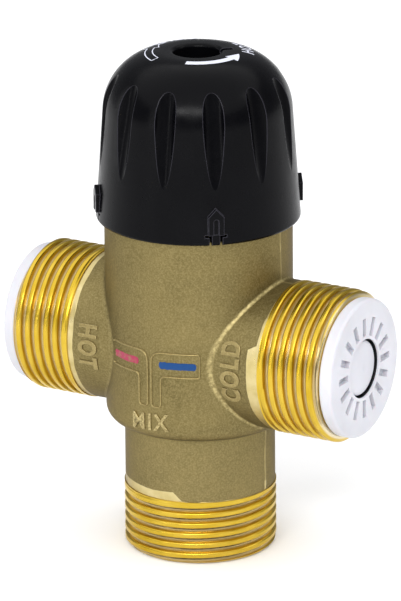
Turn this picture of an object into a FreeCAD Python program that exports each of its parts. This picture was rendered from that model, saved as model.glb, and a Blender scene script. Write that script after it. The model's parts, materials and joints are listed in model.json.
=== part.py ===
"""Thermostatic mixing valve with three G1 ports, as a parametric FreeCAD document.

Frame: +Z runs up the valve's main axis, X along the two inlets (hot at -X, cold at +X), -Y is the side
with the flow sign.  The origin is the centre of the outlet's end face.  All sizes are in millimetres.
"""
import FreeCAD, Part
import math
import os
import re
import Sketcher

# ------------------------------------------------------------------------------------------------
# Driving sizes, one sheet cell each
# ------------------------------------------------------------------------------------------------
SIZES = {
    # brass body, outside
    "thread_radius": 16.62,         # G1 crest
    "thread_length": 14.2,
    "thread_chamfer": 0.9,
    "neck_radius": 16.4,
    "neck_length": 3.3,             # barrel to an inlet's thread
    "port_height": 46.2,
    "port_reach": 37.9,             # main axis to an inlet's brass face
    "barrel_radius": 20.4,
    "barrel_foot": 28.8,
    "foot_round": 3.4,
    "barrel_top": 76.0,
    "collar_radius": 17.6,
    "collar_height": 4.5,
    "edge_break": 0.5,
    "crease_round": 0.8,
    # brass body, waterways
    "outlet_radius": 12.5,
    "outlet_depth": 26.0,
    "seat_hole_radius": 11.0,
    "seat_lip_width": 2.6,
    "seat_lip_height": 0.9,
    "hot_floor": 30.6,
    "chamber_radius": 15.5,
    "land_length": 4.4,
    "land_groove_width": 2.4,
    "port_bore_radius": 12.4,
    "port_bore_end": 19.4,
    "window_offset": 7.0,           # port axis to the middle of a waterway window
    "window_half_length": 9.0,
    "window_half_height": 4.0,
    "window_round": 3.9,
    # clearances
    "running_gap": 0.06,            # radial, between a sliding or turning piece and its bore
    "seal_gap": 0.05,               # radial, between a ring seal and the surface it wipes
    "thread_gap": 0.05,
    "key_gap": 0.15,
    "end_gap": 0.1,                 # axial play of clips and collars
    # piston
    "piston_radius": 13.5,
    "piston_wall": 1.5,
    "piston_length": 24.0,
    "piston_edge": 0.6,
    "hot_gap": 3.5,                 # open distance over the hot seat as stored
    "cold_gap": 1.3,                # open distance under the cold seat as stored
    "web_rise": 15.0,
    "web_thickness": 2.0,
    "web_ring_radius": 10.0,
    "spoke_width": 3.0,
    "piston_seal_wire": 1.1,
    # wax element
    "element_radius": 7.0,
    "element_length": 19.0,
    "element_round": 1.5,
    "element_flange_radius": 8.6,
    "element_flange_thickness": 2.0,
    "stem_radius": 4.0,
    "stem_length": 12.0,
    "pin_radius": 1.6,
    "pin_length": 14.4,
    "pin_depth": 8.0,
    "pin_spare": 1.0,
    # bonnet
    "bonnet_top": 98.0,
    "bonnet_roof": 5.5,
    "bonnet_tube_radius": 14.4,
    "bonnet_chamfer": 2.0,
    "bonnet_hex_flats": 30.5,
    "bonnet_hex_height": 4.0,
    "skirt_bore_radius": 12.0,
    "skirt_bore_depth": 8.7,
    "bonnet_seal_wire": 0.75,
    "bonnet_seal_drop": 3.0,        # hex underside to the middle of the ring groove
    # adjusting nut and overload set
    "nut_radius": 10.9,
    "nut_length": 18.9,
    "nut_web": 6.0,
    "nut_wall": 2.0,
    "nut_room": 2.1,                # nut to spindle collar as stored
    "nut_lug_radius": 11.9,
    "nut_lug_width": 3.0,
    "overload_disc_thickness": 1.8,
    "overload_pocket": 0.6,         # depth of the pin's seat in the disc
    "overload_boss_radius": 3.2,
    "overload_boss_length": 2.2,
    "overload_spigot_radius": 5.2,
    "overload_spigot_length": 1.6,
    "overload_coil_radius": 6.9,
    "overload_wire": 0.8,
    "overload_turns": 3.5,
    # spindle
    "spindle_thread_radius": 5.0,
    "spindle_thread_length": 9.6,
    "spindle_neck_radius": 5.5,
    "spindle_collar_radius": 7.5,
    "spindle_collar_thickness": 1.8,
    "spindle_rise": 8.0,            # head above the bonnet
    "spline_root_radius": 4.75,
    "spline_count": 8,
    "spline_width": 1.6,
    "spindle_seal_wire": 0.62,
    "spindle_seal_rise": 1.5,       # roof underside to the first ring
    "spindle_seal_pitch": 2.5,
    "socket_flats": 6.0,
    "socket_depth": 5.0,
    # spring clips
    "clip_thickness": 0.9,
    "clip_bite": 0.75,              # depth of a clip's groove
    "clip_width": 2.4,
    "clip_mouth": 5.0,
    # adjusting cap
    "rim_overlap": 1.6,
    "rim_radius": 22.17,
    "rim_round": 0.7,
    "rim_gap": 0.4,
    "rim_counterbore": 1.2,
    "cap_taper": 4.0,
    "crown_height": 111.4,
    "shoulder_round": 13.2,
    "key_hole_radius": 5.13,
    "key_hole_round": 0.8,
    "notch_reach": 7.8,             # index notch in the hole's rim
    "notch_depth": 1.0,
    "notch_width": 1.6,
    "cap_wall": 2.6,
    "hub_radius": 7.0,
    "ceiling_flat": 0.2,            # flat ring left round the hub
    "hub_lift": 0.8,
    "rib_count": 6,
    "rib_thickness": 1.4,
    "rib_foot_angle": 25.0,         # round the shoulder, up from its foot
    "rib_head_angle": 60.0,
    "flute_count": 12,
    "flute_radius": 2.45,
    "flute_tilt": 11.5,
    "flute_low": 86.6,
    "pointer_count": 4,
    "pointer_width": 3.4,
    "pointer_raise": 0.5,
    "pointer_low": 2.5,
    "pointer_shoulder": 6.5,
    "pointer_tip": 8.3,
    "recess_half_width": 0.55,
    "recess_round": 0.5,
    "slit_width": 0.55,
    "slit_rise": 2.4,
    "slit_reach": 1.5,
    "tongue_width": 1.75,
    "dial_angle": -50.0,
    # return spring and its seat
    "return_coil_radius": 8.7,
    "return_wire": 0.75,
    "return_turns": 6.5,
    "spring_seat_height": 20.0,
    "spring_seat_thickness": 2.0,
    "spring_seat_ring_radius": 10.0,
    "spring_seat_rim": 0.9,
    # check valve cartridges
    "flange_radius": 15.2,
    "flange_thickness": 3.0,
    "flange_round": 0.7,
    "sleeve_gap": 0.1,
    "sleeve_room": 2.1,
    "sleeve_bore_radius": 9.8,
    "plate_thickness": 2.6,
    "poppet_hole_radius": 6.5,
    "face_slot_count": 16,
    "face_slot_inner": 7.2,
    "face_slot_outer": 11.2,
    "face_slot_width": 1.5,
    "face_slot_depth": 1.2,
    "poppet_boss_radius": 6.1,
    "poppet_recess": 0.4,
    "poppet_dome": 0.4,
    "poppet_disc_radius": 8.3,
    "poppet_disc_thickness": 1.8,
    "poppet_seal_thickness": 0.75,
    "poppet_stem_radius": 1.8,
    "poppet_stem_end": 23.4,
    "guide_ring_end": 22.5,
    "guide_ring_length": 2.0,
    "guide_ring_wall": 1.1,
    "guide_hub_radius": 2.9,
    "guide_hub_length": 4.0,
    "guide_spoke_width": 2.0,
    "check_coil_radius": 3.6,
    "check_wire": 0.4,
    "check_turns": 4.5,
    "check_seal_inset": 4.9,        # brass face to the middle of the seal
    "check_seal_wire": 0.66,
}

# Sizes and places that follow from the driving ones
PLACES = {
    "inlet_thread_end": "barrel_radius + neck_length",
    "collar_top": "barrel_top + collar_height",
    "seat_lip_radius": "seat_hole_radius + seat_lip_width",
    "seat_top": "hot_floor + seat_lip_height",
    "land_low": "port_height - land_length / 2",
    "land_high": "port_height + land_length / 2",
    "land_radius": "piston_radius + running_gap",
    "piston_seal_radius": "piston_radius + seal_gap + piston_seal_wire",
    "land_groove_radius": "piston_seal_radius + piston_seal_wire + seal_gap",
    "piston_low": "seat_top + hot_gap",
    "piston_top": "piston_low + piston_length",
    "piston_bore": "piston_radius - piston_wall",
    "web_low": "piston_low + web_rise",
    "web_top": "web_low + web_thickness",
    "web_hole": "element_radius + key_gap",
    "element_low": "web_top - element_length",
    "flange_top": "web_top + element_flange_thickness",
    "stem_top": "flange_top + stem_length",
    "pin_low": "stem_top - pin_depth",
    "pin_top": "pin_low + pin_length",
    "bonnet_low": "piston_top + cold_gap",
    "guide_low": "bonnet_low + skirt_bore_depth",
    "guide_radius": "nut_radius + running_gap",
    "roof_low": "bonnet_top - bonnet_roof",
    "bonnet_skirt_radius": "chamber_radius - thread_gap",
    "bonnet_seal_height": "collar_top - bonnet_seal_drop",
    "bonnet_seal_radius": "chamber_radius - seal_gap - bonnet_seal_wire",
    "bonnet_groove_radius": "bonnet_seal_radius - bonnet_seal_wire - seal_gap",
    "bonnet_groove_half": "bonnet_seal_wire + key_gap",
    "spindle_hole_radius": "spindle_neck_radius + running_gap",
    "spindle_collar_top": "roof_low - end_gap",
    "spindle_collar_low": "spindle_collar_top - spindle_collar_thickness",
    "spindle_low": "spindle_collar_low - spindle_thread_length",
    "spindle_top": "bonnet_top + spindle_rise",
    "spindle_seal_radius": "spindle_neck_radius + running_gap - seal_gap - spindle_seal_wire",
    "spindle_groove_radius": "spindle_seal_radius - spindle_seal_wire - seal_gap",
    "spindle_seal_first": "roof_low + spindle_seal_rise",
    "spindle_clip_low": "bonnet_top + end_gap * 2",
    "spindle_clip_top": "spindle_clip_low + clip_thickness + end_gap",
    "spindle_clip_bore": "spindle_neck_radius - clip_bite",
    "nut_top": "spindle_collar_low - nut_room",
    "nut_low": "nut_top - nut_length",
    "nut_web_low": "nut_top - nut_web",
    "nut_bore": "spindle_thread_radius + thread_gap",
    "nut_skirt_bore": "nut_radius - nut_wall",
    "overload_disc_low": "pin_top - overload_pocket",
    "overload_disc_top": "overload_disc_low + overload_disc_thickness",
    "overload_disc_radius": "nut_skirt_bore - running_gap",
    "overload_clip_top": "overload_disc_low",
    "overload_clip_low": "overload_clip_top - clip_thickness",
    "overload_clip_radius": "nut_skirt_bore + clip_bite",
    "rim_low": "barrel_top - rim_overlap",
    "skirt_radius": "barrel_radius + rim_gap",
    "skirt_top": "barrel_top + rim_counterbore",
    "crown_corner": "rim_radius - (crown_height - rim_low) * tan(cap_taper)",
    "cap_inner_low": "rim_radius - cap_wall / cos(cap_taper) - (skirt_top - rim_low) * tan(cap_taper)",
    "ceiling": "crown_height - cap_wall",
    "ceiling_corner": "crown_corner - cap_wall / cos(cap_taper) + cap_wall * tan(cap_taper)",
    "inner_round": "min(shoulder_round - cap_wall, (ceiling_corner - hub_radius - ceiling_flat)"
                   " * tan(45 + cap_taper / 2))",
    "shoulder_height": "crown_height - shoulder_round",
    "shoulder_radius": "crown_corner + shoulder_round * tan(cap_taper) - shoulder_round / cos(cap_taper)",
    "hub_low": "spindle_clip_top + hub_lift",
    "hub_bore": "spline_root_radius + end_gap",
    "hub_groove_radius": "spindle_neck_radius + end_gap",
    "mid_wall": "shoulder_round - cap_wall / 2",
    "rib_foot_height": "shoulder_height + mid_wall * sin(rib_foot_angle)",
    "flute_surface": "rim_radius - (flute_low - rim_low) * tan(cap_taper)",
    "flute_axis_low": "flute_surface + flute_radius / cos(flute_tilt)",
    "flute_length": "crown_height - flute_low",
    "pointer_face": "rim_radius + pointer_raise",
    "outlet_clip_high": "spring_seat_height",
    "outlet_clip_low": "outlet_clip_high - clip_thickness",
    "outlet_clip_radius": "outlet_radius + clip_bite",
    "spring_seat_top": "spring_seat_height + spring_seat_thickness",
    "spring_seat_radius": "outlet_radius - sleeve_gap",
    "spring_seat_hole": "element_radius + key_gap * 2",
    "flange_face": "port_reach + flange_thickness",
    "plate_back": "flange_face - plate_thickness",
    "sleeve_radius": "port_bore_radius - sleeve_gap",
    "sleeve_end": "port_bore_end + sleeve_room",
    "disc_front": "plate_back - seal_gap - poppet_seal_thickness",
    "disc_back": "disc_front - poppet_disc_thickness",
    "boss_face": "flange_face - poppet_recess",
    "guide_face": "guide_ring_end + guide_ring_length",
    "guide_ring_radius": "sleeve_bore_radius - seal_gap",
    "guide_hub_bore": "poppet_stem_radius + running_gap",
    "check_seal_place": "port_reach - check_seal_inset",
    "check_seal_radius": "port_bore_radius - seal_gap / 2 - check_seal_wire",
    "check_groove_radius": "check_seal_radius - check_seal_wire - seal_gap",
    "check_groove_half": "check_seal_wire + key_gap",
}

doc = FreeCAD.newDocument("MixingValve")
sheet = doc.addObject("Spreadsheet::Sheet", "Sizes")
for row, (name, number) in enumerate(SIZES.items(), start=1):
    sheet.set(f"A{row}", str(number))
    sheet.setAlias(f"A{row}", name)
doc.recompute()


# ------------------------------------------------------------------------------------------------
# Formulas, sketches and features
# ------------------------------------------------------------------------------------------------
def formula(text):
    """Spell a formula out in terms of the sheet's cells."""
    def spell(match):
        word = match.group(0)
        if word in SIZES:
            return f"Sizes.{word}"
        if word in PLACES:
            return f"({formula(PLACES[word])})"
        return word
    return re.sub(r"[a-z_]+", spell, str(text))


def value(text):
    """The number that a formula gives now."""
    result = sheet.evalExpression(formula(text))
    return float(getattr(result, "Value", result))


def bind(target, prop, text):
    target.setExpression(prop, formula(text))


def new_body(label):
    body = doc.addObject("PartDesign::Body", label)
    body.Label = label
    return body


def origin_feature(body, role):
    return next(item for item in body.Origin.OriginFeatures if item.Role == role)


def new_sketch(body, name, plane="XZ_Plane", offset=None):
    sketch = body.newObject("Sketcher::SketchObject", name)
    sketch.AttachmentSupport = [(origin_feature(body, plane), "")]
    sketch.MapMode = "FlatFace"
    if offset:
        bind(sketch, "AttachmentOffset.Base.z", offset)
    return sketch


def constrain(sketch, kind, text, *refs):
    """Add a constraint whose size is a formula."""
    index = sketch.addConstraint(Sketcher.Constraint(kind, *refs, value(text)))
    sketch.setExpression(f"Constraints[{index}]", formula(text))


def pin(sketch, geo, point, x, y):
    """Hold a point at a place given by two formulas."""
    for text, axis, kind in ((x, -2, "DistanceX"), (y, -1, "DistanceY")):
        if abs(value(text)) < 1e-9:
            sketch.addConstraint(Sketcher.Constraint("PointOnObject", geo, point, axis))
        else:
            constrain(sketch, kind, text, -1, 1, geo, point)


def vector(x, y):
    return FreeCAD.Vector(x, y, 0)


def draw_outline(sketch, corners):
    """Close a chain of straight lines through corners (x, y) or, rounded, (x, y, radius)."""
    spots = [vector(value(c[0]), value(c[1])) for c in corners]
    count = len(corners)
    entries, exits, arcs = list(spots), list(spots), {}
    for i, corner in enumerate(corners):
        if len(corner) < 3:
            continue
        before = (spots[i - 1] - spots[i]).normalize()
        after = (spots[(i + 1) % count] - spots[i]).normalize()
        radius = value(corner[2])
        half = before.getAngle(after) / 2
        entries[i] = spots[i] + before * (radius / math.tan(half))
        exits[i] = spots[i] + after * (radius / math.tan(half))
        centre = spots[i] + (before + after).normalize() * (radius / math.sin(half))
        left_turn = before.cross(after).z < 0
        start, end = (entries[i], exits[i]) if left_turn else (exits[i], entries[i])
        angles = [math.atan2(p.y - centre.y, p.x - centre.x) for p in (start, end)]
        circle = Part.Circle(centre, FreeCAD.Vector(0, 0, 1), radius)
        arcs[i] = (Part.ArcOfCircle(circle, *angles), (1, 2) if left_turn else (2, 1))
    lines = [sketch.addGeometry(Part.LineSegment(exits[i], entries[(i + 1) % count]), False)
             for i in range(count)]
    for i, corner in enumerate(corners):
        line_in, line_out = lines[i - 1], lines[i]
        if i not in arcs:
            sketch.addConstraint(Sketcher.Constraint("Coincident", line_in, 2, line_out, 1))
            pin(sketch, line_out, 1, corner[0], corner[1])
            continue
        shape, (first, last) = arcs[i]
        arc = sketch.addGeometry(shape, False)
        apex = sketch.addGeometry(Part.Point(spots[i]), True)
        sketch.addConstraint(Sketcher.Constraint("Tangent", line_in, 2, arc, first))
        sketch.addConstraint(Sketcher.Constraint("Tangent", arc, last, line_out, 1))
        sketch.addConstraint(Sketcher.Constraint("PointOnObject", apex, 1, line_in))
        sketch.addConstraint(Sketcher.Constraint("PointOnObject", apex, 1, line_out))
        pin(sketch, apex, 1, corner[0], corner[1])
        constrain(sketch, "Radius", corner[2], arc)


def draw_circle(sketch, x, y, radius):
    circle = Part.Circle(vector(value(x), value(y)), FreeCAD.Vector(0, 0, 1), value(radius))
    geo = sketch.addGeometry(circle, False)
    pin(sketch, geo, 3, x, y)
    constrain(sketch, "Radius", radius, geo)


def draw_axis(sketch, start, end):
    """Add the construction line that a revolved feature turns about."""
    spots = [vector(value(x), value(y)) for x, y in (start, end)]
    geo = sketch.addGeometry(Part.LineSegment(*spots), True)
    pin(sketch, geo, 1, *start)
    pin(sketch, geo, 2, *end)


def rectangle(x_low, y_low, x_high, y_high):
    return [(x_low, y_low), (x_high, y_low), (x_high, y_high), (x_low, y_high)]


def polygon(sides, flats):
    """Corners of a regular polygon of even side count, a corner on the first axis."""
    radius = f"{flats} / 2 / cos({180 / sides})"
    return [(f"{radius} * cos({360 / sides * k})", f"{radius} * sin({360 / sides * k})")
            for k in range(sides)]


def turned(body, name, corners, cut=False, about="V_Axis", axis=None):
    """Revolve an outline of the XZ plane about one of its axes, or about a drawn line."""
    sketch = new_sketch(body, f"{name}_profile")
    if axis:
        draw_axis(sketch, *axis)
        about = "Axis0"
    draw_outline(sketch, corners)
    feature = body.newObject("PartDesign::Groove" if cut else "PartDesign::Revolution", name)
    feature.Profile = sketch
    feature.ReferenceAxis = (sketch, [about])
    feature.Angle = 360.0
    return feature


def pushed(body, name, sketch, length, cut=False, reverse=False, centred=False):
    """Pad or pocket a sketch by a length."""
    feature = body.newObject("PartDesign::Pocket" if cut else "PartDesign::Pad", name)
    feature.Profile = sketch
    feature.Reversed = reverse
    feature.SideType = "Symmetric" if centred else "One side"
    bind(feature, "Length", length)
    return feature


def ring_of(body, name, features, count, role="Z_Axis"):
    """Repeat features evenly round one of the body's axes."""
    doc.recompute()
    pattern = body.newObject("PartDesign::PolarPattern", name)
    pattern.Originals = features
    pattern.Axis = (origin_feature(body, role), [""])
    pattern.Angle = 360.0
    bind(pattern, "Occurrences", count)
    body.Tip = pattern
    return pattern


def coil(label, radius, wire, low, high, turns, about="V_Axis"):
    """Compression spring of hexagonal-drawn wire between two seats."""
    body = new_body(label)
    sketch = new_sketch(body, "wire")
    upright = about == "V_Axis"
    corners = []
    for k in range(6):
        out = f"{radius} + {wire} * cos({60 * k})"
        along = f"{low} + {wire} * (1 + sin({60 * k}))"
        corners.append((out, along) if upright else (along, out))
    draw_outline(sketch, corners)
    doc.recompute()
    helix = body.newObject("PartDesign::AdditiveHelix", "coil")
    helix.Profile = sketch
    helix.ReferenceAxis = (sketch, [about])
    helix.Mode = "height-turns-angle"
    bind(helix, "Height", f"{high} - ({low}) - 2 * {wire}")
    bind(helix, "Turns", turns)
    return body


def ring_seal(label, radius, wire, places):
    """Round-section sealing rings on the main axis, one at each height."""
    body = new_body(label)
    body.AllowCompound = True
    for k, height in enumerate(places):
        sketch = new_sketch(body, f"section_{k}")
        draw_circle(sketch, radius, height, wire)
        ring = body.newObject("PartDesign::Revolution", f"ring_{k}")
        ring.Profile = sketch
        ring.ReferenceAxis = (sketch, ["V_Axis"])
    return body


def spring_clip(label, inner, outer, low, thickness):
    """Flat open ring that snaps into a groove."""
    body = new_body(label)
    turned(body, "ring", rectangle(inner, low, outer, f"{low} + {thickness}"))
    sketch = new_sketch(body, "mouth_plan", "XY_Plane", low)
    draw_outline(sketch, rectangle("0", "-clip_mouth / 2", f"{outer} + clip_width", "clip_mouth / 2"))
    pushed(body, "mouth", sketch, f"{thickness} * 2", cut=True, centred=True)
    return body


def round_edges(body, name, base, radius, wanted):
    """Round every edge of a feature that the test picks."""
    doc.recompute()
    names = [f"Edge{i}" for i, edge in enumerate(base.Shape.Edges, start=1) if wanted(edge)]
    fillet = body.newObject("PartDesign::Fillet", name)
    fillet.Base = (base, names)
    bind(fillet, "Radius", radius)
    return fillet


# ------------------------------------------------------------------------------------------------
# Brass body: one hot-forged and machined piece
# ------------------------------------------------------------------------------------------------
def build_valve_body():
    body = new_body("valve_body")
    turned(body, "barrel", [
        ("0", "0"),
        ("thread_radius - thread_chamfer", "0"),
        ("thread_radius", "thread_chamfer"),
        ("thread_radius", "thread_length"),
        ("neck_radius", "thread_length"),
        ("neck_radius", "barrel_foot"),
        ("barrel_radius", "barrel_foot", "foot_round"),
        ("barrel_radius", "barrel_top - edge_break"),
        ("barrel_radius - edge_break", "barrel_top"),
        ("collar_radius", "barrel_top"),
        ("collar_radius", "collar_top"),
        ("0", "collar_top"),
    ])
    half = [
        ("thread_radius - thread_chamfer", "port_reach"),
        ("thread_radius", "port_reach - thread_chamfer"),
        ("thread_radius", "inlet_thread_end"),
        ("neck_radius", "inlet_thread_end"),
    ]
    spigots = [("-port_reach", "port_height")]
    spigots += [(f"-({x})", f"port_height + {r}") for r, x in half]
    spigots += [(x, f"port_height + {r}") for r, x in reversed(half)]
    spigots += [("port_reach", "port_height")]
    port_axis = (("-port_reach", "port_height"), ("port_reach", "port_height"))
    necks = turned(body, "inlet_spigots", spigots, axis=port_axis)

    barrel, neck = value("barrel_radius"), value("neck_radius")

    def is_crease(edge):
        box = edge.BoundBox
        across = max(abs(box.XMin), abs(box.XMax)) < barrel + 0.01 and box.ZLength > neck
        return across and not hasattr(edge.Curve, "Radius") and box.YLength > neck / 2
    round_edges(body, "crease", necks, "crease_round", is_crease)

    turned(body, "main_bores", [
        ("0", "0"),
        ("outlet_radius + edge_break", "0"),
        ("outlet_radius", "edge_break"),
        ("outlet_radius", "outlet_clip_low - end_gap / 2"),
        ("outlet_clip_radius", "outlet_clip_low - end_gap / 2"),
        ("outlet_clip_radius", "outlet_clip_high"),
        ("outlet_radius", "outlet_clip_high"),
        ("outlet_radius", "outlet_depth"),
        ("seat_hole_radius", "outlet_depth"),
        ("seat_hole_radius", "seat_top"),
        ("seat_lip_radius", "seat_top"),
        ("seat_lip_radius", "hot_floor"),
        ("chamber_radius", "hot_floor"),
        ("chamber_radius", "land_low"),
        ("land_radius", "land_low"),
        ("land_radius", "port_height - land_groove_width / 2"),
        ("land_groove_radius", "port_height - land_groove_width / 2"),
        ("land_groove_radius", "port_height + land_groove_width / 2"),
        ("land_radius", "port_height + land_groove_width / 2"),
        ("land_radius", "land_high"),
        ("chamber_radius", "land_high"),
        ("chamber_radius", "collar_top"),
        ("0", "collar_top"),
    ], cut=True)
    for side, sign in (("cold", ""), ("hot", "-")):
        turned(body, f"{side}_port_bore", [
            (f"{sign}port_bore_end", "port_height"),
            (f"{sign}port_bore_end", "port_height + port_bore_radius"),
            (f"{sign}(port_reach - edge_break)", "port_height + port_bore_radius"),
            (f"{sign}port_reach", "port_height + port_bore_radius + edge_break"),
            (f"{sign}port_reach", "port_height"),
        ], cut=True, axis=port_axis)
        # the window joins the port's bore to its half of the chamber: cold above the land, hot below
        middle = "port_height + window_offset" if side == "cold" else "port_height - window_offset"
        sketch = new_sketch(body, f"{side}_window_plan", "YZ_Plane")
        draw_outline(sketch, [(*corner, "window_round") for corner in rectangle(
            "-window_half_length", f"{middle} - window_half_height",
            "window_half_length", f"{middle} + window_half_height")])
        pushed(body, f"{side}_window", sketch, "port_bore_end + edge_break", cut=True,
               reverse=side == "cold")
    return body


# ------------------------------------------------------------------------------------------------
# Bonnet, spindle and cap
# ------------------------------------------------------------------------------------------------
def build_bonnet():
    body = new_body("bonnet")
    turned(body, "tube", [
        ("skirt_bore_radius", "bonnet_low"),
        ("bonnet_skirt_radius", "bonnet_low"),
        ("bonnet_skirt_radius", "bonnet_seal_height - bonnet_groove_half"),
        ("bonnet_groove_radius", "bonnet_seal_height - bonnet_groove_half"),
        ("bonnet_groove_radius", "bonnet_seal_height + bonnet_groove_half"),
        ("bonnet_skirt_radius", "bonnet_seal_height + bonnet_groove_half"),
        ("bonnet_skirt_radius", "collar_top"),
        ("bonnet_tube_radius", "collar_top"),
        ("bonnet_tube_radius", "bonnet_top - bonnet_chamfer"),
        ("bonnet_tube_radius - bonnet_chamfer", "bonnet_top"),
        ("spindle_hole_radius", "bonnet_top"),
        ("spindle_hole_radius", "roof_low"),
        ("guide_radius", "roof_low"),
        ("guide_radius", "guide_low"),
        ("skirt_bore_radius", "guide_low"),
    ])
    hexagon = new_sketch(body, "hexagon", "XY_Plane", "collar_top")
    draw_outline(hexagon, polygon(6, "bonnet_hex_flats"))
    draw_circle(hexagon, "0", "0", "bonnet_tube_radius - edge_break")
    pushed(body, "wrench_hex", hexagon, "bonnet_hex_height")
    keyway = new_sketch(body, "keyway_plan", "XY_Plane", "guide_low")
    draw_outline(keyway, rectangle("-(nut_lug_radius + key_gap)", "-(nut_lug_width / 2 + key_gap)",
                                   "nut_lug_radius + key_gap", "nut_lug_width / 2 + key_gap"))
    pushed(body, "keyway", keyway, "spindle_collar_low - guide_low", cut=True, reverse=True)
    return body


def build_spindle():
    body = new_body("spindle")
    grooves = []
    for k in range(2):
        middle = f"spindle_seal_first + {k} * spindle_seal_pitch"
        half = "spindle_seal_wire + key_gap / 2"
        grooves += [
            ("spindle_neck_radius", f"{middle} - ({half})"),
            ("spindle_groove_radius", f"{middle} - ({half})"),
            ("spindle_groove_radius", f"{middle} + {half}"),
            ("spindle_neck_radius", f"{middle} + {half}"),
        ]
    turned(body, "shaft", [
        ("0", "spindle_low"),
        ("spindle_thread_radius - edge_break", "spindle_low"),
        ("spindle_thread_radius", "spindle_low + edge_break"),
        ("spindle_thread_radius", "spindle_collar_low"),
        ("spindle_collar_radius", "spindle_collar_low"),
        ("spindle_collar_radius", "spindle_collar_top"),
        ("spindle_neck_radius", "spindle_collar_top"),
        *grooves,
        ("spindle_neck_radius", "spindle_clip_low - end_gap / 2"),
        ("spindle_clip_bore - seal_gap", "spindle_clip_low - end_gap / 2"),
        ("spindle_clip_bore - seal_gap", "spindle_clip_top"),
        ("spline_root_radius", "spindle_clip_top"),
        ("spline_root_radius", "spindle_top"),
        ("0", "spindle_top"),
    ])
    sketch = new_sketch(body, "spline_side")
    draw_outline(sketch, rectangle("spline_root_radius - edge_break", "spindle_clip_top",
                                   "spindle_neck_radius", "spindle_top"))
    spline = pushed(body, "spline", sketch, "spline_width", centred=True)
    ring_of(body, "splines", [spline], "spline_count")
    socket = new_sketch(body, "socket_plan", "XY_Plane", "spindle_top")
    draw_outline(socket, polygon(6, "socket_flats"))
    pushed(body, "key_socket", socket, "socket_depth", cut=True)
    return body


def build_cap():
    body = new_body("adjusting_cap")
    turned(body, "shell", [
        ("skirt_radius", "rim_low"),
        ("rim_radius", "rim_low", "rim_round"),
        ("crown_corner", "crown_height", "shoulder_round"),
        ("key_hole_radius", "crown_height", "key_hole_round"),
        ("key_hole_radius", "spindle_top"),
        ("hub_bore", "spindle_top"),
        ("hub_bore", "hub_low"),
        ("hub_radius", "hub_low"),
        ("hub_radius", "ceiling"),
        ("ceiling_corner", "ceiling", "inner_round"),
        ("cap_inner_low", "skirt_top"),
        ("skirt_radius", "skirt_top"),
    ])
    ribs = new_sketch(body, "rib_side")
    draw_outline(ribs, [
        ("hub_radius - edge_break", "rib_foot_height"),
        ("shoulder_radius + mid_wall * cos(rib_foot_angle)", "rib_foot_height"),
        ("shoulder_radius + mid_wall * cos(rib_head_angle)",
         "shoulder_height + mid_wall * sin(rib_head_angle)"),
        ("hub_radius - edge_break", "crown_height - cap_wall / 2"),
    ])
    rib = pushed(body, "rib", ribs, "rib_thickness", centred=True)
    ring_of(body, "ribs", [rib], "rib_count")

    notch = new_sketch(body, "notch_side", "YZ_Plane")
    draw_outline(notch, rectangle("key_hole_radius - edge_break", "crown_height - notch_depth",
                                  "notch_reach", "crown_height"))
    pushed(body, "notch", notch, "notch_width", cut=True, centred=True)

    # finger flutes: a round cutter leaning inwards, out at the wall below and through the dome above
    low = ("flute_axis_low", "flute_low")
    high = ("flute_axis_low - flute_length * tan(flute_tilt)", "flute_low + flute_length")
    out = ("flute_radius * cos(flute_tilt)", "flute_radius * sin(flute_tilt)")
    flute = turned(body, "flute", [
        low,
        high,
        (f"{high[0]} + {out[0]}", f"{high[1]} + {out[1]}"),
        (f"{low[0]} + {out[0]}", f"{low[1]} + {out[1]}"),
    ], cut=True, axis=(low, high))
    ring_of(body, "flutes", [flute], "flute_count")

    # pointers on the rim, each with a round-topped recess and two hooked slits that free a tongue
    plate = new_sketch(body, "pointer_front", "YZ_Plane", "rim_radius - cap_wall / 2")
    draw_outline(plate, [
        ("-pointer_width / 2", "rim_low + pointer_low"),
        ("pointer_width / 2", "rim_low + pointer_low"),
        ("pointer_width / 2", "rim_low + pointer_shoulder"),
        ("0", "rim_low + pointer_tip"),
        ("-pointer_width / 2", "rim_low + pointer_shoulder"),
    ])
    pointer = pushed(body, "pointer", plate, "cap_wall / 2 + pointer_raise")
    recess = new_sketch(body, "recess_front", "YZ_Plane", "pointer_face")
    top = "rim_low + pointer_shoulder - edge_break"
    draw_outline(recess, [
        ("-recess_half_width", "rim_low + pointer_low"),
        ("recess_half_width", "rim_low + pointer_low"),
        ("recess_half_width", top, "recess_round"),
        ("-recess_half_width", top, "recess_round"),
    ])
    hollow = pushed(body, "pointer_recess", recess, "pointer_raise", cut=True)
    slits = []
    for side, sign in (("left", "-"), ("right", "")):
        sketch = new_sketch(body, f"{side}_slit_front", "YZ_Plane", "pointer_face")
        inner, outer = "tongue_width / 2", "tongue_width / 2 + slit_width"
        draw_outline(sketch, [
            (f"{sign}({inner})", "rim_low - edge_break"),
            (f"{sign}({inner})", "rim_low + slit_rise"),
            (f"{sign}({inner} + slit_reach)", "rim_low + slit_rise"),
            (f"{sign}({inner} + slit_reach)", "rim_low + slit_rise - slit_width"),
            (f"{sign}({outer})", "rim_low + slit_rise - slit_width"),
            (f"{sign}({outer})", "rim_low - edge_break"),
        ])
        slits.append(pushed(body, f"{side}_slit", sketch, "cap_wall + pointer_raise", cut=True))
    ring_of(body, "pointers", [pointer, hollow, *slits], "pointer_count")

    grooves = new_sketch(body, "spline_groove_side")
    draw_outline(grooves, rectangle("hub_bore - edge_break", "hub_low", "hub_groove_radius", "spindle_top"))
    groove = pushed(body, "spline_groove", grooves, "spline_width + key_gap", cut=True, centred=True)
    ring_of(body, "spline_grooves", [groove], "spline_count")
    return body


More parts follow.
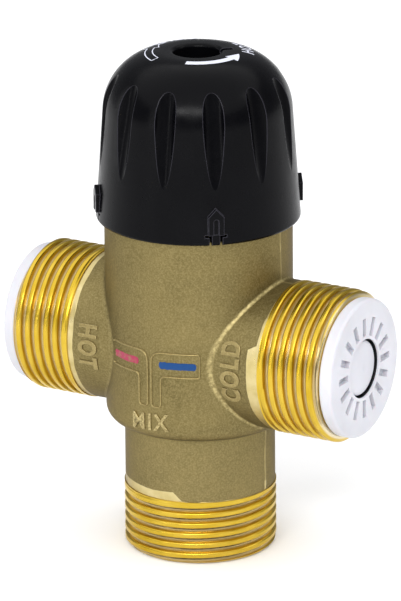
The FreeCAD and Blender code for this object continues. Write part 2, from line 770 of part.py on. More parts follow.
def build_nut():
    body = new_body("adjusting_nut")
    turned(body, "cup", [
        ("nut_skirt_bore", "nut_low"),
        ("nut_radius", "nut_low"),
        ("nut_radius", "nut_top"),
        ("nut_bore", "nut_top"),
        ("nut_bore", "nut_web_low"),
        ("nut_skirt_bore", "nut_web_low"),
        ("nut_skirt_bore", "overload_clip_top"),
        ("overload_clip_radius + seal_gap", "overload_clip_top"),
        ("overload_clip_radius + seal_gap", "overload_clip_low - end_gap"),
        ("nut_skirt_bore", "overload_clip_low - end_gap"),
    ])
    for side, sign in (("left", "-"), ("right", "")):
        sketch = new_sketch(body, f"{side}_lug_side")
        draw_outline(sketch, rectangle(f"{sign}(nut_radius - nut_wall / 2)", "nut_web_low",
                                       f"{sign}nut_lug_radius", "nut_top"))
        pushed(body, f"{side}_lug", sketch, "nut_lug_width", centred=True)
    return body


def build_overload_plunger():
    body = new_body("overload_plunger")
    turned(body, "button", [
        ("0", "pin_top"),
        ("pin_radius + running_gap", "pin_top"),
        ("pin_radius + running_gap", "overload_disc_low - overload_boss_length"),
        ("overload_boss_radius", "overload_disc_low - overload_boss_length"),
        ("overload_boss_radius", "overload_disc_low"),
        ("overload_disc_radius", "overload_disc_low"),
        ("overload_disc_radius", "overload_disc_top"),
        ("overload_spigot_radius", "overload_disc_top"),
        ("overload_spigot_radius", "overload_disc_top + overload_spigot_length"),
        ("0", "overload_disc_top + overload_spigot_length"),
    ])
    return body


# ------------------------------------------------------------------------------------------------
# Thermostat: wax element, its pin, the piston and the spring seat
# ------------------------------------------------------------------------------------------------
def build_element_pin():
    body = new_body("element_pin")
    turned(body, "pin", [
        ("0", "pin_low"),
        ("pin_radius", "pin_low", "edge_break"),
        ("pin_radius", "pin_top"),
        ("0", "pin_top"),
    ])
    return body


def build_wax_element():
    body = new_body("wax_element")
    turned(body, "cup", [
        ("0", "element_low"),
        ("element_radius", "element_low", "element_round"),
        ("element_radius", "web_top"),
        ("element_flange_radius", "web_top"),
        ("element_flange_radius", "flange_top", "edge_break"),
        ("stem_radius", "flange_top"),
        ("stem_radius", "stem_top - edge_break"),
        ("stem_radius - edge_break", "stem_top"),
        ("pin_radius + running_gap", "stem_top"),
        ("pin_radius + running_gap", "pin_low - pin_spare"),
        ("0", "pin_low - pin_spare"),
    ])
    return body


def spoked_ring(body, hub_hole, hub_radius, rim_inner, rim, low, high):
    """Hub ring and rim joined by four spokes; the rim's outline is given by its corners."""
    for name, plane in (("spokes_x", "XZ_Plane"), ("spokes_y", "YZ_Plane")):
        sketch = new_sketch(body, f"{name}_side", plane)
        draw_outline(sketch, rectangle(f"-({rim_inner} + edge_break)", low,
                                       f"{rim_inner} + edge_break", high))
        pushed(body, name, sketch, "spoke_width", centred=True)
    turned(body, "hub", rectangle("0", low, hub_radius, high))
    turned(body, "rim", rim)
    turned(body, "hub_hole", rectangle("0", low, hub_hole, high), cut=True)


def build_piston():
    body = new_body("piston")
    spoked_ring(body, "web_hole", "web_ring_radius", "piston_bore", [
        ("piston_bore", "piston_low"),
        ("piston_radius - piston_edge", "piston_low"),
        ("piston_radius", "piston_low + piston_edge"),
        ("piston_radius", "piston_top - piston_edge"),
        ("piston_radius - piston_edge", "piston_top"),
        ("piston_bore", "piston_top"),
    ], "web_low", "web_top")
    return body


def build_spring_seat():
    body = new_body("spring_seat")
    inner = "spring_seat_radius - spring_seat_rim"
    spoked_ring(body, "spring_seat_hole", "spring_seat_ring_radius", inner,
                rectangle(inner, "spring_seat_height", "spring_seat_radius", "spring_seat_top"),
                "spring_seat_height", "spring_seat_top")
    return body


# ------------------------------------------------------------------------------------------------
# Check valve cartridges, one in each inlet: drawn along X and turned into place
# ------------------------------------------------------------------------------------------------
def in_port(body, turn):
    body.Placement.Rotation = FreeCAD.Rotation(FreeCAD.Vector(0, 0, 1), turn)
    bind(body, "Placement.Base.z", "port_height")
    return body


def build_check_valve(side, turn):
    housing = new_body(f"{side}_check_housing")
    turned(housing, "shell", [
        ("flange_face", "poppet_hole_radius"),
        ("flange_face", "flange_radius", "flange_round"),
        ("port_reach", "flange_radius", "flange_round"),
        ("port_reach", "sleeve_radius"),
        ("check_seal_place + check_groove_half", "sleeve_radius"),
        ("check_seal_place + check_groove_half", "check_groove_radius"),
        ("check_seal_place - check_groove_half", "check_groove_radius"),
        ("check_seal_place - check_groove_half", "sleeve_radius"),
        ("sleeve_end", "sleeve_radius"),
        ("sleeve_end", "sleeve_bore_radius"),
        ("plate_back", "sleeve_bore_radius"),
        ("plate_back", "poppet_hole_radius"),
    ], about="H_Axis")
    plan = new_sketch(housing, "slot_plan", "YZ_Plane", "flange_face")
    draw_outline(plan, rectangle("face_slot_inner", "-face_slot_width / 2",
                                 "face_slot_outer", "face_slot_width / 2"))
    slot = pushed(housing, "slot", plan, "face_slot_depth", cut=True)
    ring_of(housing, "slots", [slot], "face_slot_count", "X_Axis")

    poppet = new_body(f"{side}_check_poppet")
    turned(poppet, "poppet", [
        ("boss_face", "0"),
        ("boss_face - poppet_dome", "poppet_boss_radius", "edge_break"),
        ("disc_front", "poppet_boss_radius"),
        ("disc_front", "poppet_disc_radius"),
        ("disc_back", "poppet_disc_radius"),
        ("disc_back", "poppet_stem_radius"),
        ("poppet_stem_end", "poppet_stem_radius"),
        ("poppet_stem_end", "0"),
    ], about="H_Axis")

    washer = new_body(f"{side}_poppet_seal")
    turned(washer, "washer", rectangle(
        "disc_front", "poppet_boss_radius + seal_gap",
        "disc_front + poppet_seal_thickness", "poppet_disc_radius - edge_break"), about="H_Axis")

    guide = new_body(f"{side}_check_guide")
    for name, plane in (("spoke_z", "XZ_Plane"), ("spoke_y", "XY_Plane")):
        sketch = new_sketch(guide, f"{name}_side", plane)
        reach = "guide_ring_radius - guide_ring_wall / 2"
        draw_outline(sketch, rectangle("guide_ring_end", f"-({reach})", "guide_face", reach))
        pushed(guide, name, sketch, "guide_spoke_width", centred=True)
    turned(guide, "hub", rectangle("guide_ring_end", "0", "guide_ring_end + guide_hub_length",
                                   "guide_hub_radius"), about="H_Axis")
    turned(guide, "spring_step", rectangle("guide_ring_end", "0", "guide_face",
                                           "check_coil_radius + check_wire * 2"), about="H_Axis")
    turned(guide, "ring", rectangle("guide_ring_end", "guide_ring_radius - guide_ring_wall",
                                    "guide_face", "guide_ring_radius"), about="H_Axis")
    turned(guide, "stem_hole", rectangle("guide_ring_end", "0", "guide_ring_end + guide_hub_length",
                                         "guide_hub_bore"), cut=True, about="H_Axis")

    spring = coil(f"{side}_check_spring", "check_coil_radius", "check_wire", "guide_face",
                  "disc_back", "check_turns", about="H_Axis")

    seal = new_body(f"{side}_check_seal")
    section = new_sketch(seal, "section")
    draw_circle(section, "check_seal_place", "check_seal_radius", "check_seal_wire")
    ring = seal.newObject("PartDesign::Revolution", "ring")
    ring.Profile = section
    ring.ReferenceAxis = (section, ["H_Axis"])
    return [in_port(body, turn) for body in (housing, poppet, washer, guide, spring, seal)]


# ------------------------------------------------------------------------------------------------
# Assembly
# ------------------------------------------------------------------------------------------------
pieces = [
    build_valve_body(),
    build_bonnet(),
    ring_seal("bonnet_seal", "bonnet_seal_radius", "bonnet_seal_wire", ["bonnet_seal_height"]),
    build_nut(),
    build_overload_plunger(),
    spring_clip("overload_clip", "overload_clip_radius - clip_width", "overload_clip_radius",
                "overload_clip_low", "clip_thickness - end_gap"),
    coil("overload_spring", "overload_coil_radius", "overload_wire", "overload_disc_top",
         "nut_web_low", "overload_turns"),
    build_element_pin(),
    build_wax_element(),
    build_piston(),
    ring_seal("piston_seal", "piston_seal_radius", "piston_seal_wire", ["port_height"]),
    coil("return_spring", "return_coil_radius", "return_wire", "spring_seat_top", "web_low",
         "return_turns"),
    build_spring_seat(),
    spring_clip("seat_clip", "outlet_clip_radius - clip_width", "outlet_clip_radius - seal_gap",
                "outlet_clip_low", "clip_thickness - end_gap / 2"),
]
# what turns together with the dial
dial = [
    build_spindle(),
    ring_seal("spindle_seals", "spindle_seal_radius", "spindle_seal_wire",
              ["spindle_seal_first", "spindle_seal_first + spindle_seal_pitch"]),
    spring_clip("spindle_clip", "spindle_clip_bore", "spindle_clip_bore + clip_width",
                "spindle_clip_low", "clip_thickness"),
    build_cap(),
]
for piece in dial:
    piece.Placement.Rotation = FreeCAD.Rotation(FreeCAD.Vector(0, 0, 1), value("dial_angle"))
pieces += dial
for side, turn in (("hot", 180.0), ("cold", 0.0)):
    pieces += build_check_valve(side, turn)

doc.recompute()


# ------------------------------------------------------------------------------------------------
# Test and write
# ------------------------------------------------------------------------------------------------
faults = [item.Name for item in doc.Objects if {"Invalid", "Error"} & set(item.State)]
if faults:
    raise RuntimeError(f"failed objects: {faults}")
os.makedirs("parts", exist_ok=True)
for piece in pieces:
    if piece.Shape.isNull() or not piece.Shape.isValid() or not piece.Shape.Solids:
        raise RuntimeError(f"{piece.Label} has no sound solid")
    print(f"{piece.Label:22s} solids {len(piece.Shape.Solids)}  volume {piece.Shape.Volume:10.1f}")
for piece in pieces:
    piece.Shape.exportStep(f"parts/{piece.Label}.step")
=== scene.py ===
"""Looks of a three-way mixing valve over its CAD frame.

Metres, +Z up the main axis, +X out of the cold inlet, -Y the side with the flow sign.
Angles round the main axis are degrees from -Y towards +X.
"""
import json
import math

import bpy
import bmesh
from mathutils import Matrix, Vector, noise
from mathutils.bvhtree import BVHTree


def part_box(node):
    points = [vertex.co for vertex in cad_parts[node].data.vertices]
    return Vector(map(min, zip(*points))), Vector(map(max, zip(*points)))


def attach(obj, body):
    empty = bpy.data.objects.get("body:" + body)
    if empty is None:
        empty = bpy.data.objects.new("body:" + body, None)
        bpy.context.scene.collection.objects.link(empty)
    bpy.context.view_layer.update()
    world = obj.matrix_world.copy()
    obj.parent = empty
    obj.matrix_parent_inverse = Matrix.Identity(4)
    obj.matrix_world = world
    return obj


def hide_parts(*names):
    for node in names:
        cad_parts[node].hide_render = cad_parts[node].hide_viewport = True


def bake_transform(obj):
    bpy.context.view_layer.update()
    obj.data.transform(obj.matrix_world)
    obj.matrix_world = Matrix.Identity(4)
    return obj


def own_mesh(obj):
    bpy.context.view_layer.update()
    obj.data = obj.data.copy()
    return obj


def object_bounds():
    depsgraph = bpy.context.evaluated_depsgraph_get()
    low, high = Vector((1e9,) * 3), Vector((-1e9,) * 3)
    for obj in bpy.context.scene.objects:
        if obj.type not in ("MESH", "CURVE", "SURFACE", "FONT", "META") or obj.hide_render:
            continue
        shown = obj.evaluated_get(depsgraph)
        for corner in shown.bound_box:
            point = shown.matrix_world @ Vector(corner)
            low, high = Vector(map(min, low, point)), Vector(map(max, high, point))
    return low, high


MM = 0.001
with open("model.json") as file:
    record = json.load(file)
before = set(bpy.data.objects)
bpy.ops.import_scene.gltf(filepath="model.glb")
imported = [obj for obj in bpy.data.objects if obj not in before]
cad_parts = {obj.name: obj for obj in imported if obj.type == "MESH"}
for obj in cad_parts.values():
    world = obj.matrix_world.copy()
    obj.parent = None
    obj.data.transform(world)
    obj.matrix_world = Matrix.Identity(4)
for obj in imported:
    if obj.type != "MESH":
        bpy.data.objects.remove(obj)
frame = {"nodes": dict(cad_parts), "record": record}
cad_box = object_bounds()
nodes = frame["nodes"]
mounts = {mount["name"]: mount for mount in frame["record"]["mounts"]}
joints = {joint["name"]: joint for joint in frame["record"]["behaviour"]["joints"]}


# ------------------------------------------------------------------------------------------------
# Places read from the frame
# ------------------------------------------------------------------------------------------------
def pin_of(name):
    """Radius and thread length that a mount states."""
    dims = mounts[name]["dims"]
    return dims["r_mm"] * MM, dims["length_mm"] * MM


BODY_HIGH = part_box("valve_body")[1]
BARREL_RADIUS = BODY_HIGH.y
PORT_REACH = BODY_HIGH.x
PORT_HEIGHT = mounts["cold_inlet_face"]["pos_m"][2]
COLLAR_HEIGHT = 4.6 * MM            # turned top of the body, under the cap
SKIRT_DEPTH = 6.0 * MM              # length of the body that the cap's skirt hides
GAP_RADIUS = 6.3 * MM               # ring between a check valve's plate and its poppet

# the ports' G1 threads
CREST, CREST_LENGTH = pin_of("outlet_thread")
CHAMFER = 0.9 * MM
THREAD_LENGTH = CREST_LENGTH + CHAMFER
PITCH = 2.309 * MM
DEPTH = 0.6403 * PITCH
NECK_RADIUS = CREST - 0.22 * MM     # plain neck between a thread and the barrel
BARREL_FOOT = PORT_HEIGHT - CREST - 0.8 * MM
SLACK = 0.01 * MM                   # how far a CAD vertex may lie off a thread's zone
WELD = 0.001 * MM                   # points this near are one


def surface_of(name):
    """Search tree over a CAD node's faces."""
    mesh = nodes[name].data
    return BVHTree.FromPolygons([v.co for v in mesh.vertices], [f.vertices for f in mesh.polygons])


body_tree = surface_of("valve_body")
cap_tree = surface_of("adjusting_cap")


def round_axis(angle):
    """Unit vector in the XY plane at an angle from -Y towards +X."""
    return Vector((math.sin(math.radians(angle)), -math.cos(math.radians(angle)), 0))


def on_barrel(angle, height, lift):
    """Point over the barrel's skin."""
    way = round_axis(angle)
    start = way * (2 * BARREL_RADIUS) + Vector((0, 0, height))
    spot = body_tree.ray_cast(start, -way)[0]
    return spot + way * lift


def on_neck(x, angle, lift):
    """Point over an inlet neck's skin; the angle runs up from -Y."""
    way = Vector((0, -math.cos(math.radians(angle)), math.sin(math.radians(angle))))
    start = Vector((x, 0, PORT_HEIGHT)) + way * (2 * BARREL_RADIUS)
    spot = body_tree.ray_cast(start, -way)[0]
    return spot + way * lift


def on_crown(angle, radius, lift):
    """Point over the cap's top, no higher than the cap itself."""
    start = round_axis(angle) * radius + Vector((0, 0, 2 * cad_box[1].z))
    spot, normal, _, _ = cap_tree.ray_cast(start, Vector((0, 0, -1)))
    point = spot + normal * lift
    point.z = min(point.z, cad_box[1].z)
    return point


# ------------------------------------------------------------------------------------------------
# Materials
# ------------------------------------------------------------------------------------------------
class Finish:
    """A node material round one Principled shader, built up by small calls."""

    def __init__(self, name, **sockets):
        self.material = bpy.data.materials.new(name)
        self.material.use_nodes = True
        self.tree = self.material.node_tree
        self.shader = self.tree.nodes["Principled BSDF"]
        for socket, number in sockets.items():
            self.shader.inputs[socket.replace("_", " ")].default_value = number
        self.place = self.node("ShaderNodeTexCoord").outputs["Object"]

    def node(self, kind, inputs=None, **settings):
        """A new node; each input takes a number or another node's socket."""
        node = self.tree.nodes.new(kind)
        for name, setting in settings.items():
            setattr(node, name, setting)
        for socket, source in (inputs or {}).items():
            if isinstance(source, bpy.types.NodeSocket):
                self.tree.links.new(source, node.inputs[socket])
            else:
                node.inputs[socket].default_value = source
        return node

    def maths(self, operation, first, second=0.0):
        return self.node("ShaderNodeMath", {0: first, 1: second}, operation=operation).outputs[0]

    def times(self, first, second):
        return self.maths("MULTIPLY", first, second)

    def minus(self, first, second):
        return self.maths("SUBTRACT", first, second)

    def most(self, first, *others):
        """The greatest of several values."""
        for other in others:
            first = self.maths("MAXIMUM", first, other)
        return first

    def stretched(self, scale):
        """Place with a scale of its own along each axis."""
        return self.node("ShaderNodeMapping", {"Vector": self.place, "Scale": scale}).outputs[0]

    def grain(self, scale, detail=2.0, rough=0.5, place=None):
        """Noise from 0 to 1; its scale is in cycles a metre."""
        return self.node("ShaderNodeTexNoise", {"Vector": place or self.place, "Scale": scale,
                                                "Detail": detail, "Roughness": rough}).outputs["Fac"]

    def spread(self, source, low, high, to_low=0.0, to_high=1.0):
        """Source stretched from the range low..high to another one, and held inside it."""
        return self.node("ShaderNodeMapRange", {"Value": source, "From Min": low, "From Max": high,
                                                "To Min": to_low, "To Max": to_high}).outputs[0]

    def blend(self, share, first, second):
        """Mix of two colours; share is the second one's part."""
        node = self.node("ShaderNodeMix", data_type="RGBA")
        factor = next(s for s in node.inputs if s.name == "Factor" and s.type == "VALUE")
        colours = [s for s in node.inputs if s.type == "RGBA"]
        for socket, source in zip([factor] + colours, (share, first, second)):
            if isinstance(source, bpy.types.NodeSocket):
                self.tree.links.new(source, socket)
            else:
                socket.default_value = source
        return next(s for s in node.outputs if s.type == "RGBA")

    def bump(self, height, distance, strength=1.0, normal=None):
        """Normal pushed about by a height from 0 to 1, over another normal where one is given."""
        inputs = {"Height": height, "Distance": distance, "Strength": strength}
        if normal:
            inputs["Normal"] = normal
        return self.node("ShaderNodeBump", inputs).outputs["Normal"]

    def corners(self, radius):
        """Normal softened at corners, and how far it agrees with the true one."""
        soft = self.node("ShaderNodeBevel", {"Radius": radius}, samples=8).outputs[0]
        true = self.node("ShaderNodeNewGeometry").outputs["Normal"]
        agree = self.node("ShaderNodeVectorMath", {0: soft, 1: true}, operation="DOT_PRODUCT")
        return soft, agree.outputs["Value"]

    def off_round(self, first, second, radius):
        """Distance from a round surface whose axis crosses two coordinates at zero."""
        square = self.maths("ADD", self.times(first, first), self.times(second, second))
        return self.maths("ABSOLUTE", self.minus(self.maths("SQRT", square), radius))

    def wear(self, socket, source):
        """Feeds a source into the shader."""
        self.tree.links.new(source, self.shader.inputs[socket])


def colour(red, green, blue):
    """Linear colour of a display value from 0 to 255."""
    def linear(part):
        part /= 255
        return part / 12.92 if part <= 0.04045 else ((part + 0.055) / 1.055) ** 2.4
    return (linear(red), linear(green), linear(blue), 1.0)


def turned_metal(name, tones, rough, axis, depth=None):
    """Turned metal with fine rings across an axis; depth names an attribute, 1 at a thread's root."""
    finish = Finish(name, Metallic=1.0, Roughness=rough)
    rings = [40.0, 40.0, 40.0]
    rings[axis] = 4200.0
    ring = finish.grain(1.0, 3.0, 0.6, finish.stretched(rings))
    cloud = finish.grain(130.0, 3.0)
    tone = finish.blend(finish.spread(cloud, 0.35, 0.65), tones[0], tones[1])
    if depth:
        groove = finish.node("ShaderNodeAttribute", attribute_name=depth).outputs["Fac"]
        # painted highlight: a pale tone on the flanks
        tone = finish.blend(finish.spread(groove, 0.4, 0.65, 0.0, 0.95), tone, tones[2])
        # painted shade: the roots darker, in patches
        patches = finish.spread(finish.grain(900.0, 3.0), 0.3, 0.6, 0.6, 1.0)
        root_shade = finish.times(finish.spread(groove, 0.86, 1.0), patches)
        tone = finish.blend(root_shade, tone, tones[3])
    finish.wear("Base Color", tone)
    finish.wear("Roughness", finish.spread(ring, 0.2, 0.8, rough * 0.75, rough * 1.35))
    finish.wear("Normal", finish.bump(ring, 0.012 * MM, 0.6))
    return finish.material


def forging_tone(finish, height, fine):
    """Clouded and speckled brass, with painted light that makes it a little lighter at the barrel's foot.
    """
    cloud = finish.spread(finish.grain(60.0, 4.0, 0.6), 0.3, 0.7)
    tone = finish.blend(cloud, colour(101, 90, 54), colour(127, 113, 70))
    tone = finish.blend(finish.spread(fine, 0.4, 0.66, 0.0, 0.7), tone, colour(156, 141, 96))
    speckle = finish.spread(finish.grain(3800.0, 1.0), 0.62, 0.75, 0.0, 0.16)
    tone = finish.blend(speckle, tone, colour(200, 186, 136))
    # painted light: a little lighter at and below the barrel's foot
    foot = finish.spread(height, BARREL_FOOT - 1 * MM, BARREL_FOOT + 3 * MM, 0.12, 0.0)
    return finish.blend(foot, tone, colour(190, 172, 118))


def crease_highlight_and_seam_share(finish, part, above, off_seam):
    """Painted highlight along the creases round the inlets, brighter on the cold side, and the trimmed
    parting line.
    """
    # distances from the barrel's and the inlet necks' own surfaces meet at the creases
    corner = finish.most(finish.off_round(part["X"], part["Y"], BARREL_RADIUS),
                         finish.off_round(part["Y"], above, NECK_RADIUS))
    crease_highlight_mask = finish.spread(corner, 0.15 * MM, 0.55 * MM, 1.0, 0.0)
    crease_highlight_mask = finish.times(crease_highlight_mask, finish.spread(finish.grain(1300.0, 3.0), 0.35, 0.65, 0.2, 1.0))
    # painted highlight kept mostly to the cold side, where the light falls
    crease_highlight_mask = finish.times(crease_highlight_mask, finish.spread(part["X"], -1 * MM, 1 * MM, 0.2, 1.0))
    seam = finish.spread(off_seam, 0.12 * MM, 0.4 * MM, 1.0, 0.0)
    seam = finish.times(seam, finish.spread(finish.grain(180.0, 2.0), 0.4, 0.6, 0.35, 1.0))
    return finish.most(crease_highlight_mask, seam)


def machined_share(finish, part, above, off_seam):
    """Uneven bands beside the threads, where the threading tool ran on over the forging."""
    thread_end = PORT_REACH - THREAD_LENGTH
    front = finish.times(part["Y"], -1.0)
    left = finish.times(part["X"], -1.0)
    turn = finish.maths("ARCTAN2", part["X"], front)
    wander = finish.spread(finish.grain(190.0, 2.0), 0.3, 0.7, -0.16 * MM, 0.16 * MM)

    def band(distance, width):
        edge = finish.minus(finish.maths("ADD", width, wander), distance)
        return finish.spread(edge, -0.03 * MM, 0.03 * MM)

    cold_width = finish.times(
        finish.spread(front, 0.3 * NECK_RADIUS, 0.9 * NECK_RADIUS, 0.4 * MM, 2.7 * MM),
        finish.spread(above, 5.6 * MM, 6.6 * MM, 1.0, 0.3))
    outlet_width = finish.times(
        finish.spread(turn, math.radians(9), math.radians(16), 1.9 * MM, 0.1 * MM),
        finish.spread(turn, math.radians(-165), math.radians(-120), 0.05, 1.0))
    trim = finish.times(
        finish.spread(off_seam, 0.35 * MM, 0.42 * MM, 1.0, 0.0),
        finish.spread(part["Z"], THREAD_LENGTH + 2.0 * MM, THREAD_LENGTH + 2.3 * MM, 1.0, 0.0))
    return finish.most(band(finish.minus(part["Z"], THREAD_LENGTH), outlet_width), trim,
                       band(finish.minus(thread_end, part["X"]), cold_width),
                       band(finish.minus(thread_end, left), 1.35 * MM))


def forged_skin():
    """Blasted hot-forged brass: fine grain, a trimmed parting line and machined bands by the threads."""
    finish = Finish("forged_skin", Metallic=0.9, Specular_Tint=(0.42, 0.42, 0.5, 1.0))
    part = finish.node("ShaderNodeSeparateXYZ", {0: finish.place}).outputs
    above = finish.minus(part["Z"], PORT_HEIGHT)
    sway = finish.spread(finish.grain(120.0, 1.0), 0.3, 0.7, -0.2 * MM, 0.2 * MM)
    off_seam = finish.maths("ABSOLUTE", finish.maths("ADD", part["Y"], sway))
    fine = finish.grain(2600.0, 3.0, 0.65)
    coarse = finish.grain(700.0, 2.0)
    highlight_and_seam_mask = crease_highlight_and_seam_share(finish, part, above, off_seam)
    cut = machined_share(finish, part, above, off_seam)

    tone = forging_tone(finish, part["Z"], fine)
    # painted highlight on the creases, with the trimmed parting line
    tone = finish.blend(finish.times(highlight_and_seam_mask, 0.8), tone, colour(204, 187, 132))
    bright = finish.blend(finish.spread(finish.grain(300.0, 2.0), 0.3, 0.7),
                          colour(214, 198, 146), colour(192, 174, 116))
    tone = finish.blend(cut, tone, bright)

    # painted shade under the cap's skirt, so that the barrel seen through the slits is dark
    skirt_end = BODY_HIGH.z - SKIRT_DEPTH
    painted_skirt_shade = finish.spread(part["Z"], skirt_end, skirt_end + 0.4 * MM)
    finish.wear("Base Color", finish.blend(painted_skirt_shade, tone, colour(24, 22, 18)))
    blasted = finish.spread(fine, 0.3, 0.7, 0.42, 0.58)
    finish.wear("Roughness", finish.minus(blasted, finish.times(cut, 0.16)))
    pitted = finish.bump(fine, 0.03 * MM, 0.45)
    lumpy = finish.bump(coarse, 0.05 * MM, 0.4, pitted)
    ridged = finish.bump(highlight_and_seam_mask, 0.12 * MM, 0.7, lumpy)
    finish.wear("Normal", finish.bump(cut, 0.06 * MM, 0.8, ridged))
    return finish.material


def raised_skin(name, low, high):
    """The forging's letters and ridges, with a painted highlight along their edges."""
    finish = Finish(name, Metallic=0.9)
    fine = finish.grain(2200.0, 3.0, 0.65)
    tone = finish.blend(finish.spread(fine, 0.35, 0.65), low, high)
    soft, agree = finish.corners(0.12 * MM)
    # painted highlight along the edges
    edge = finish.times(finish.spread(agree, 0.99, 0.9), finish.spread(fine, 0.3, 0.6, 0.4, 1.0))
    finish.wear("Base Color", finish.blend(edge, tone, colour(228, 212, 162)))
    finish.wear("Roughness", finish.spread(fine, 0.3, 0.7, 0.36, 0.5))
    finish.wear("Normal", finish.bump(fine, 0.03 * MM, 0.5, soft))
    return finish.material


def moulded(name, tone, rough, grain_scale, grain_depth=0.02 * MM, edge=None, edge_highlight_tone=None,
            gap=False, **sockets):
    """Moulded plastic with a faint skin; edge is the radius of its softened corners."""
    finish = Finish(name, **sockets)
    cloud = finish.grain(70.0, 3.0)
    lighter = tuple(min(1.0, part * 1.2 + 0.001) for part in tone[:3]) + (1.0,)
    skin = finish.blend(finish.spread(cloud, 0.3, 0.7), tone, lighter)
    soft = None
    if edge:
        soft, agree = finish.corners(edge)
    if edge_highlight_tone:
        # painted highlight along the corners
        skin = finish.blend(finish.spread(agree, 0.995, 0.93, 0.0, 0.8), skin, edge_highlight_tone)
    if gap:
        # shade in the narrow ring between a check valve's plate and its poppet
        part = finish.node("ShaderNodeSeparateXYZ", {0: finish.place}).outputs
        above = finish.minus(part["Z"], PORT_HEIGHT)
        narrow = finish.maths("LESS_THAN", finish.off_round(part["Y"], above, GAP_RADIUS), 0.25 * MM)
        face = cad_box[1].x - 0.42 * MM
        deep = finish.maths("LESS_THAN", finish.maths("ABSOLUTE", part["X"]), face)
        skin = finish.blend(finish.times(narrow, deep), skin, colour(10, 10, 12))
    finish.wear("Base Color", skin)
    uneven = finish.grain(400.0, 3.0)
    finish.wear("Roughness", finish.spread(uneven, 0.3, 0.7, rough * 0.85, rough * 1.15))
    finish.wear("Normal", finish.bump(finish.grain(grain_scale, 2.0), grain_depth, 0.5, soft))
    return finish.material


def drawn_steel():
    """Spring wire and clips, streaked by drawing."""
    finish = Finish("drawn_steel", Metallic=1.0)
    streak = finish.grain(1.0, 3.0, 0.6, finish.stretched((900.0, 900.0, 4000.0)))
    finish.wear("Base Color", finish.blend(finish.spread(streak, 0.3, 0.7),
                                           colour(170, 172, 175), colour(205, 206, 208)))
    finish.wear("Roughness", finish.spread(streak, 0.2, 0.8, 0.2, 0.4))
    finish.wear("Normal", finish.bump(streak, 0.01 * MM, 0.4))
    return finish.material


def paint(name, full, thin, cover):
    """Brushed enamel that lets the brass through where it is thin."""
    finish = Finish(name, Roughness=0.4, Specular_IOR_Level=0.3)
    film = finish.spread(finish.grain(900.0, 3.0), cover - 0.12, cover + 0.12)
    finish.wear("Base Color", finish.blend(film, full, thin))
    finish.wear("Metallic", finish.times(film, 0.25))
    finish.wear("Normal", finish.bump(finish.grain(1500.0, 2.0), 0.03 * MM, 0.5))
    return finish.material


# two tones of the crests, a pale one painted on the flanks as highlight, and a dark one painted in the
# roots as shade
GOLD = (colour(196, 162, 42), colour(212, 180, 68), colour(222, 210, 178), colour(128, 114, 86))
forging = forged_skin()
# raised brass painted lighter than the forging, as light on the tops of letters and ridges; the second
# copy is painted lighter still
raised = raised_skin("raised_skin", colour(138, 122, 78), colour(164, 148, 100))
painted_light_raised = raised_skin("painted_light_raised_skin", colour(134, 118, 76), colour(196, 180, 128))
thread_brass = {axis: turned_metal(f"thread_brass_{'XYZ'[axis]}", GOLD, rough=0.28, axis=axis,
                                   depth="groove") for axis in (0, 2)}
turned_brass = turned_metal("turned_brass", GOLD, rough=0.26, axis=2)
element_brass = turned_metal("element_brass", (colour(206, 168, 92), colour(222, 186, 110)),
                             rough=0.3, axis=2)
# black cap with a painted highlight along its corners
black = moulded("black_cap", colour(3, 3, 5), rough=0.25, grain_scale=1500.0, edge=0.3 * MM,
                edge_highlight_tone=colour(62, 61, 68), Specular_IOR_Level=0.075)
grey = moulded("grey_acetal", colour(120, 122, 126), rough=0.45, grain_scale=1500.0, edge=0.15 * MM)
white = moulded("white_acetal", colour(195, 195, 201), rough=0.42, grain_scale=900.0, edge=0.15 * MM,
                gap=True, Subsurface_Weight=0.1, Subsurface_Scale=2 * MM)
rubber = moulded("rubber_seal", colour(26, 26, 27), rough=0.6, grain_scale=2500.0)
steel = drawn_steel()
print_white = moulded("print_white", colour(206, 208, 220), rough=0.5, grain_scale=2500.0,
                      grain_depth=0.01 * MM)
blue_paint = paint("blue_paint", colour(0, 60, 116), colour(14, 74, 124), cover=0.75)
red_paint = paint("red_paint", colour(158, 44, 74), colour(146, 96, 80), cover=0.58)

BY_SLOT = {"forged_brass": forging, "machined_brass": turned_brass, "element_brass": element_brass,
           "black_plastic": black, "grey_plastic": grey, "white_plastic": white, "rubber": rubber,
           "steel": steel}
for node in nodes.values():
    for slot in node.material_slots:
        slot.material = BY_SLOT[slot.material.name.split(".")[0]]


# ------------------------------------------------------------------------------------------------
# Pieces
# ------------------------------------------------------------------------------------------------
def place_object(name, data):
    """A new object in the scene."""
    thing = bpy.data.objects.new(name, data)
    bpy.context.scene.collection.objects.link(thing)
    return thing


def piece(name, verts, faces, materials, body, slot, smooth=True):
    mesh = bpy.data.meshes.new(name)
    mesh.from_pydata(verts, [], faces)
    mesh.validate()
    for material in materials:
        mesh.materials.append(material)
    if smooth:
        mesh.shade_smooth()
    thing = place_object(name, mesh)
    if body:
        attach(thing, body)
    return thing


def main_axis(way):
    """0 for a way along X, 2 for one along Z."""
    return 2 if way.z else 0


def to_port(point, inward):
    """Distance inwards from a port's end face, and distance from its axis."""
    if inward.z:
        return point.z, math.hypot(point.x, point.y)
    return PORT_REACH + point.x * inward.x, math.hypot(point.y, point.z - PORT_HEIGHT)


PORTS = {
    "outlet": (Vector((0, 0, 0)), Vector((0, 0, 1))),
    "hot": (Vector((-PORT_REACH, 0, PORT_HEIGHT)), Vector((1, 0, 0))),
    "cold": (Vector((PORT_REACH, 0, PORT_HEIGHT)), Vector((-1, 0, 0))),
}


def mouth_radius(inward):
    """Inner radius of a port's end face on the CAD body."""
    spots = [to_port(v.co, inward) for v in nodes["valve_body"].data.vertices]
    return min(radius for along, radius in spots if abs(along) < WELD and radius > CREST / 2)


MOUTHS = {name: mouth_radius(inward) for name, (_, inward) in PORTS.items()}


